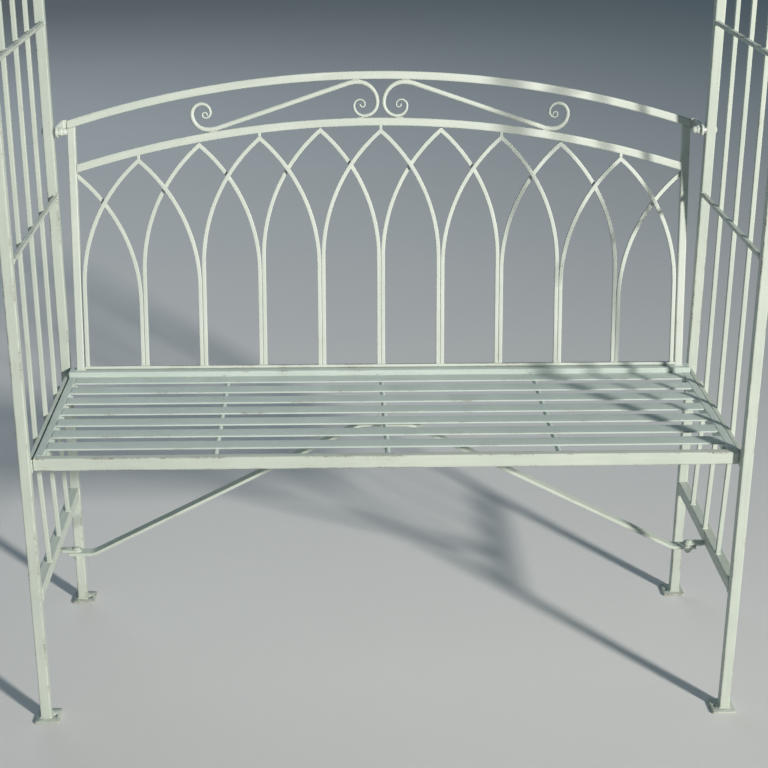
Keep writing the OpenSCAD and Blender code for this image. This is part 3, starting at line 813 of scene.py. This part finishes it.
def upright(side, sign):
    """A side tube of the backrest, cut to the slope of the seat and to the top rail's underside."""
    x = sign * (BACK_HALF - BACK_TUBE / 2)
    top = arc_at(x, TOP_C, UNDER_R)
    under = (on_back(x, top, BACK_TUBE / 2), X * x + UP_SLOPE * (top - TOP_C))
    path = [on_back(x, 0, BACK_TUBE / 2), on_back(x, top, BACK_TUBE / 2)]
    shape = Shape()
    sweep(shape, subdivided(path), BACK_NORMAL, rectangle(BACK_TUBE, BACK_TUBE, TUBE_CORNER),
          planes=((Vector((0, 0, REAR_TOP)), Z), under))
    lo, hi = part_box(f"back_{side}_upright")
    foot = Vector((hi.x, lo.y + BACK_TUBE / math.cos(LEAN), 0))
    collar(shape, Vector((lo.x, lo.y, 0)), foot, 2, REAR_TOP + LIFT, UPRIGHT_BEAD)
    shape.piece(f"back_{side}_upright_bar", BACK_PAINT, "back_paint", f"back_{side}_upright")


def curved_rail(node, centre, reach):
    """A rail bent to an arc, cut square at both ends."""
    middle = BACK_R - BACK_TUBE / 2
    limit = math.asin(reach / middle)
    steps = 64
    angles = [limit * (2 * k / steps - 1) for k in range(steps + 1)]
    path = [on_back(middle * math.sin(a), centre + middle * math.cos(a), BACK_TUBE / 2) for a in angles]
    shape = Shape()
    sweep(shape, path, BACK_NORMAL, rectangle(BACK_TUBE, BACK_TUBE, TUBE_CORNER),
          planes=((Vector((-reach, 0, 0)), X), (Vector((reach, 0, 0)), X)))
    shape.piece(node + "_bar", BACK_PAINT, "back_paint", node)


def bottom_rail():
    """The flat rail that the lancets stand on."""
    height, front, depth = SILL
    middle = (SILL_LIFT + height) / 2
    ends = [on_back(-BACK_IN, middle, front + depth / 2), on_back(BACK_IN, middle, front + depth / 2)]
    shape = Shape()
    sweep(shape, subdivided(ends), BACK_NORMAL, rectangle(height - SILL_LIFT, depth, BAR_CORNER))
    shape.piece("back_bottom_rail_bar", BACK_WORN, "back_paint", "back_bottom_rail")


def leg_path(x, tip, y, reach=0.0, side=-1):
    """Centre line of one leg, from its foot to x + reach beyond the apex."""
    leg = LANCET_PITCH - PAIR_GAP / 2
    spring = tip - math.sqrt(LANCET_R ** 2 - (LANCET_R - leg) ** 2)
    centre, radius = LANCET_R - leg, LANCET_R - LANCET_BAR / 2
    final = math.acos((centre - reach) / radius)
    steps = 20
    flat = [(-leg + LANCET_BAR / 2, SILL[0] + spring * k) for k in (0, 0.3, 0.6)]
    flat += [(centre - radius * math.cos(final * k / steps), spring + radius * math.sin(final * k / steps))
             for k in range(steps + 1)]
    return [on_back(x - side * a, s, y) for a, s in flat]


def lancets(name, node, orders, drop, y):
    """One layer of lancets, whose tips end a drop under the lower rail."""
    depth, size = TIP_BLOB
    shape = Shape()
    for i in orders:
        x = i * LANCET_PITCH
        tip = arc_at(x, LOW_C, UNDER_R) - drop
        left = leg_path(x, tip, y)
        right = leg_path(x, tip, y, side=1)
        sill = (on_back(0, SILL[0], y), UP_SLOPE)
        sweep(shape, left + right[-2::-1], BACK_NORMAL, rectangle(LANCET_BAR, LANCET_BAR, BAR_CORNER),
              planes=(sill, sill))
        blob(shape, on_back(x, tip - depth, y), size)
    shape.piece(name, BACK_PAINT, "back_paint", node)


def blob(shape, centre, radius):
    """A small lump of weld."""
    rings, sides, levels = [], 12, 7
    for j in range(levels):
        lift = math.pi * (j + 0.5) / levels - math.pi / 2
        level, points = math.cos(lift), []
        for k in range(sides):
            turn = 2 * math.pi * k / sides
            ray = Vector((math.cos(turn) * level, math.sin(turn) * level, math.sin(lift)))
            points.append(centre + ray * radius * (0.9 + 0.3 * noise.noise((centre + ray * radius) * 500)))
        rings.append(shape.ring(points, [0.0] * sides, [tuple(p) for p in points]))
    shape.stack(rings)


def half_lancets():
    """The half arches that end at the uprights."""
    shape = Shape()
    y = BACK_TUBE - LANCET_BAR / 2
    x = 5 * LANCET_PITCH
    reach = BACK_IN - x - 0.0002
    tip = arc_at(x, LOW_C, UNDER_R) - STUB
    for side in (-1, 1):
        path = leg_path(-side * x, tip, y, reach, side)
        end = (on_back(-side * (x + reach), 0, 0), X)
        sweep(shape, path, BACK_NORMAL, rectangle(LANCET_BAR, LANCET_BAR, BAR_CORNER),
              planes=((on_back(0, SILL[0], y), UP_SLOPE), end))
    shape.piece("half_lancet_pair", BACK_PAINT, "back_paint", "half_lancets")


def lancet_stubs():
    """Short bars between the front lancets and the lower rail, sunk a little into both."""
    shape = Shape()
    y = LANCET_BAR / 2
    for i in range(-4, 5, 2):
        x = i * LANCET_PITCH
        top = arc_at(x, LOW_C, UNDER_R)
        ends = [on_back(x, top - STUB - 0.002, y), on_back(x, top + 0.001, y)]
        sweep(shape, ends, BACK_NORMAL, rectangle(STUB_W, LANCET_BAR, BAR_CORNER))
    shape.piece("lancet_stub_set", BACK_PAINT, "back_paint", "lancet_stubs")


def lancet_feet():
    """Welds where the lancets stand on the bottom rail."""
    shape = Shape()
    half = LANCET_BAR / 2
    for i in range(-5, 6):
        y = half if i % 2 else BACK_TUBE - half
        for side in (-1, 1):
            x = i * LANCET_PITCH + side * (PAIR_GAP + LANCET_BAR) / 2
            if abs(x) > BACK_IN:
                continue
            loop = [on_back(x + a * half, SILL[0] + 0.0002, y + b * half)
                    for a, b in ((-1, -1), (1, -1), (1, 1), (-1, 1))]
            weld(shape, loop, FINE_BEAD)
    shape.piece("lancet_foot_welds", BACK_PAINT, "back_paint")


def arc_move(a, b, radius):
    """Step along an arc that turns left from heading a to heading b."""
    return Vector((math.sin(b) - math.sin(a), math.cos(a) - math.cos(b))) * radius


def curl(start, heading, shoulder, radii, steps=14):
    """Centre line of a curl as arcs that turn left: each point with the degrees turned so far."""
    made, turned = [], 0
    for radius, turn in [(SHOULDER, shoulder), *((r, 90) for r in radii), TIP_ARC]:
        a = math.radians(heading + turned)
        for k in range(steps):
            part = turn * k / steps
            made.append((start + arc_move(a, a + math.radians(part), radius), turned + part))
        start = start + arc_move(a, a + math.radians(turn), radius)
        turned += turn
    return [*made, (start, turned)]


def scroll(side, sign):
    """An S-scroll of flat bar that thins out towards its two tips."""
    front, depth, wide, tip = SCROLL
    span = OUTER_LOW - INNER_TOP + Vector((0, 2 * SHOULDER))
    slope = math.asin(2 * SHOULDER / span.length) - math.atan2(span.y, span.x)
    bend = Vector((math.sin(slope), math.cos(slope) - 1)) * SHOULDER
    slope = math.degrees(slope)
    inner = curl(INNER_TOP + bend, 180 - slope, slope, INNER_RADII)
    outer = curl(OUTER_LOW - bend, -slope, slope, OUTER_RADII)
    straight = [(inner[0][0].lerp(outer[0][0], k / 6), 0) for k in range(1, 6)]
    flat = inner[::-1] + straight + outer
    widths = [max(tip, wide - (wide - tip) * turned / TAPER) / wide for _, turned in flat]
    path = [on_back(sign * p.x, p.y, front + depth / 2) for p, _ in flat]
    shape = Shape()
    sweep(shape, path, BACK_NORMAL, rectangle(wide, depth, SCROLL_CORNER), widths)
    shape.piece(f"{side}_scroll_bar", BACK_PAINT, "back_paint", f"{side}_scroll")


def scroll_welds():
    """Beads where the scrolls touch the two curved rails."""
    front, depth = SCROLL[:2]
    touches = [(x, arc_at(x, TOP_C, UNDER_R)) for x in TOP_TOUCHES]
    touches += [(x, arc_at(x, LOW_C, BACK_R)) for x in LOW_TOUCHES]
    shape = Shape()
    for _, sign in SIDES:
        for x, s in touches:
            slope = -x / BACK_R
            for y in (front, front + depth):
                ends = [on_back(sign * (x + d), s + slope * d, y) for d in (-0.006, 0.006)]
                weld(shape, ends, BEAD, closed=False)
    shape.piece("scroll_weld_set", BACK_PAINT, "back_paint")


def bracket(side, sign):
    """Strap from an upright to the rear post, with a round end and a bend."""
    node = f"{side}_back_bracket"
    lo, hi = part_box(node)
    half, round_r = STRAP_T / 2, (hi.z - lo.z) / 2
    outer = max(abs(lo.x), abs(hi.x)) - half
    z, round_y, rear_y = (lo.z + hi.z) / 2, lo.y + round_r, hi.y - half
    corners = [(outer, round_y), (outer, rear_y), (BACK_HALF, rear_y)]
    path = bent([Vector((sign * x, y, z)) for x, y in corners], STRAP_BEND)
    shape = Shape()
    sweep(shape, path, Z, rectangle(STRAP_T, hi.z - lo.z, BAR_CORNER))
    profile = [(0, round_r - CHAMFER), (CHAMFER, round_r), (STRAP_T - CHAMFER, round_r),
               (STRAP_T, round_r - CHAMFER)]
    turned(shape, facing(Vector((sign * (outer - half), round_y, z)), X * sign), profile)
    shape.piece(f"{side}_bracket_strap", BACK_PAINT, "back_paint", node)


def backrest():
    """The backrest's tubes, lancets, scrolls and straps."""
    for side, sign in SIDES:
        upright(side, sign)
        scroll(side, sign)
        bracket(side, sign)
    curved_rail("back_top_rail", TOP_C, BACK_HALF)
    curved_rail("back_lower_rail", LOW_C, BACK_IN)
    bottom_rail()
    lancets("front_lancet_set", "front_lancets", range(-4, 5, 2), STUB, LANCET_BAR / 2)
    lancets("rear_lancet_set", "rear_lancets", range(-3, 4, 2), 0.0003, BACK_TUBE - LANCET_BAR / 2)
    half_lancets()
    lancet_stubs()
    lancet_feet()
    scroll_welds()


# Fasteners -------------------------------------------------------------------

def fasteners():
    """Bolts, nuts and screws. The spigots and rings keep their CAD shape, in zinc."""
    back_bolts()
    seat_fasteners()
    arch_screws()
    for node in ("arch_spigots", "bolt_spacers"):
        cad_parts[node].data.materials.clear()
        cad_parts[node].data.materials.append(ZINC)


def back_bolts():
    """Low heads outside the rear posts, and domed nuts on the bench side of the straps."""
    lo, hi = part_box("back_bolts")
    y, z = (lo.y + hi.y) / 2, (lo.z + hi.z) / 2
    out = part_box("right_rear_post")[1].x
    strap_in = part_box("right_back_bracket")[1].x - STRAP_T
    neck = NUT_AF * 0.45
    acorn = [*hex_profile(NUT_T, NUT_AF), (NUT_T + 0.0003, neck), *dome(NUT_T + 0.0025, ACORN_L, neck)]
    bolts, nuts = Shape(), Shape()
    for _, sign in SIDES:
        turned(bolts, facing(Vector((sign * out, y, z)), X * sign), low_head())
        turned(nuts, facing(Vector((sign * strap_in, y, z)), X * -sign), acorn, NUT_AF)
    bolts.piece("back_bolt_heads", BACK_PAINT, "back_paint", "back_bolts")
    nuts.piece("acorn_nut_pair", BACK_PAINT, "back_paint", "back_acorn_nuts")


def low_head():
    """Profile of a low domed head."""
    radius, height = LOW_HEAD
    return [(0, radius), *dome(0.0006, height, radius)]


def seat_fasteners():
    """Bolts through the seat bars and the brace, with hexagon nuts on threaded ends."""
    lo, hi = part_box("seat_bolts")
    bar_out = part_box("right_seat_bar")[1].x
    rail_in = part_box("seat_right_rail")[0].x
    tab_top, lug_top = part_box("brace_tabs")[0].z + TAB_T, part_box("brace_tabs")[1].z
    brace_lo, brace_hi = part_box("seat_brace")
    bolts, nuts, brace = Shape(), Shape(), Shape()
    head, nut = hex_profile(HEAD_T, NUT_AF), hex_profile(NUT_T, NUT_AF)
    end = thread(NUT_T - 0.001, NUT_T + BOLT_REACH, BOLT_D / 2)
    z, bolt = (lo.z + hi.z) / 2, bolt_centre()
    for _, sign in SIDES:
        for y in (lo.y + NUT_CORNER, hi.y - NUT_CORNER):
            turned(bolts, facing(Vector((sign * rail_in, y, z)), X * -sign), head, NUT_AF)
            outside = facing(Vector((sign * bar_out, y, z)), X * sign)
            turned(nuts, outside, nut, NUT_AF)
            turned(bolts, outside, end)
        turned(brace, facing(Vector((sign * bolt.x, bolt.y, tab_top)), Z), low_head())
        under = facing(Vector((sign * bolt.x, bolt.y, brace_lo.z)), -Z)
        turned(nuts, under, nut, NUT_AF)
        turned(brace, under, end)
    flats, nut_t = LUG_NUT
    crown = facing(Vector((*LUG_BOLT, brace_hi.z - BRACE_T)), -Z)
    turned(brace, crown, hex_profile(LUG_HEAD_T, flats), flats)
    top = facing(Vector((*LUG_BOLT, lug_top)), Z)
    turned(nuts, top, hex_profile(nut_t, flats), flats)
    turned(brace, top, thread(nut_t - 0.001, nut_t + BOLT_REACH, LUG_BOLT_D / 2, 0.0008))
    bolts.piece("seat_bolt_set", FRAME_PAINT, "frame_paint", "seat_bolts")
    brace.piece("brace_bolt_set", FRAME_PAINT, "frame_paint", "brace_bolts")
    nuts.piece("hex_nut_set", FRAME_PAINT, "frame_paint", "hex_nuts")


def arch_screws():
    """Domed screws through the posts and spigots."""
    lo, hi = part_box("arch_screws")
    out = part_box("right_front_post")[1].x
    head = dome(0, hi.x - out, SCREW_R)
    shape = Shape()
    for _, sign in SIDES:
        for y in (lo.y + SCREW_R, hi.y - SCREW_R):
            for z in (lo.z + SCREW_R, hi.z - SCREW_R):
                turned(shape, facing(Vector((sign * out, y, z)), X * sign), head)
    shape.piece("arch_screw_set", ZINC, "zinc", "arch_screws")


# Studio ----------------------------------------------------------------------

def camera():
    """The photograph's viewpoint: to the left of the middle, at standing height, looking down."""
    position = Vector((-0.0773, -2.292, 1.3656))
    pitch, yaw, roll = math.radians(21.035), math.radians(1.910), math.radians(0.2095)
    data = bpy.data.cameras.new("camera")
    data.sensor_width = 36
    data.lens = 72.384
    data.clip_end = 100
    obj = bpy.data.objects.new("camera", data)
    bpy.context.scene.collection.objects.link(obj)
    ahead = Vector((math.sin(yaw) * math.cos(pitch), math.cos(yaw) * math.cos(pitch), -math.sin(pitch)))
    right = Vector((math.cos(yaw), -math.sin(yaw), 0))
    up = right.cross(ahead)
    level, tilt = math.cos(roll), math.sin(roll)
    right, up = right * level + up * tilt, up * level - right * tilt
    turn = Matrix((right, up, -ahead)).transposed()
    obj.matrix_world = Matrix.Translation(position) @ turn.to_4x4()
    bpy.context.scene.camera = obj


def lamp(name, position, target, size, power, colour, spread=math.pi):
    """A round soft light."""
    data = bpy.data.lights.new(name, "AREA")
    data.spread = spread
    data.shape = "DISK"
    data.size = size
    data.energy = power
    data.color = colour
    obj = bpy.data.objects.new(name, data)
    bpy.context.scene.collection.objects.link(obj)
    aim = (Vector(target) - Vector(position)).to_track_quat("-Z", "Y")
    obj.matrix_world = Matrix.Translation(position) @ aim.to_matrix().to_4x4()


def floor():
    """A plain pale floor, a hair under the feet."""
    n = Nodes("floor")
    soft = n.noise(n.place(), 1.3, 4.0)
    n.put(n.shader, "Base Color", n.mix(soft, (0.74, 0.735, 0.715, 1), (0.78, 0.775, 0.76, 1)))
    n.put(n.shader, "Roughness", 0.95)
    n.put(n.shader, "Specular IOR Level", 0.15)
    n.put(n.shader, "Normal", n.bump(n.noise(n.place(), 60.0, 5.0), 0.15, 0.002))
    half = 40
    corners = [(-half, -half, 0), (half, -half, 0), (half, half, 0), (-half, half, 0)]
    mesh = bpy.data.meshes.new("floor")
    mesh.from_pydata(corners, [], [(0, 1, 2, 3)])
    mesh.materials.append(n.material)
    obj = bpy.data.objects.new("floor", mesh)
    obj.location.z = -0.0005
    bpy.context.scene.collection.objects.link(obj)


def studio():
    """Camera, floor, a warm key light like low sun, a weak fill, a cool back light and a dim sky."""
    camera()
    floor()
    lamp("key", (4.9, -6.1, 3.3), (0, 0, 0.9), 0.7, 93, (1.0, 0.96, 0.90), math.radians(60))
    lamp("fill", (-4.0, -3.0, 2.5), (0, 0, 0.6), 3.0, 8, (0.75, 0.88, 1.0))
    lamp("back", (-2.0, 5.0, 4.5), (0, 0, 0.8), 4.0, 60, (0.72, 0.87, 1.0))
    world = bpy.data.worlds.new("studio")
    world.use_nodes = True
    sky = world.node_tree.nodes["Background"]
    sky.inputs["Color"].default_value = (0.60, 0.82, 1.0, 1)
    sky.inputs["Strength"].default_value = 0.14
    bpy.context.scene.world = world
    bpy.context.scene.view_settings.view_transform = "Standard"


studio()
for side_name, _ in SIDES:
    trellis_side(side_name)
foot_plates()
brace_tabs()
top_section()
seat()
seat_brace()
backrest()
fasteners()
